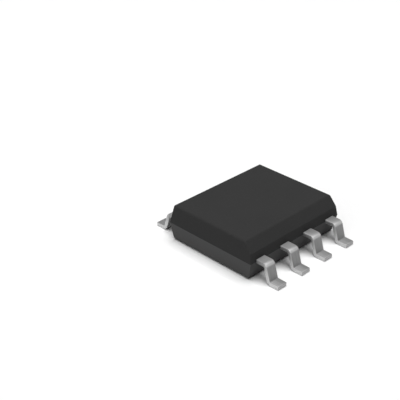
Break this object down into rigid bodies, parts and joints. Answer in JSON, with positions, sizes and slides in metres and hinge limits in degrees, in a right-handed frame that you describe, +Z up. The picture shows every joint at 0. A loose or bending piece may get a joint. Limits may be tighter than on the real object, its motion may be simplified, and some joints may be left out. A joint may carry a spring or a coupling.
{
  "type": "mosfet",
  "caption": "Surface-mount power MOSFET: a bevelled black moulding with gull-wing leads along two sides, and its leadframe, die and bond wires inside.",
  "frame": {"origin": "on the board plane, under the middle of the package", "axes": "+Z up from the board; +X across the package, from the source and gate leads to the drain leads; +Y along the rows, towards lead 1"},
  "size_m": [0.006, 0.0048, 0.0015],
  "materials": {
    "moulding_compound": "matte black filled epoxy",
    "tinned_copper": "matte tin plate on copper",
    "die": "aluminium pad metal on silicon",
    "die_solder": "dull lead-tin solder",
    "bond_gold": "bright drawn gold"
  },
  "bodies": {
    "root": {"mould_body": "moulding_compound", "drain_leadframe": "tinned_copper", "source_leadframe": "tinned_copper", "gate_lead": "tinned_copper", "silicon_die": "die", "die_attach_solder": "die_solder", "gate_wire": "bond_gold", "source_wire_1": "bond_gold", "source_wire_2": "bond_gold", "source_wire_3": "bond_gold", "source_wire_4": "bond_gold", "source_wire_5": "bond_gold", "source_wire_6": "bond_gold", "source_wire_7": "bond_gold", "source_wire_8": "bond_gold", "source_wire_9": "bond_gold", "source_wire_10": "bond_gold", "source_wire_11": "bond_gold", "source_wire_12": "bond_gold", "source_wire_13": "bond_gold", "source_wire_14": "bond_gold"}
  },
  "joints": []
}
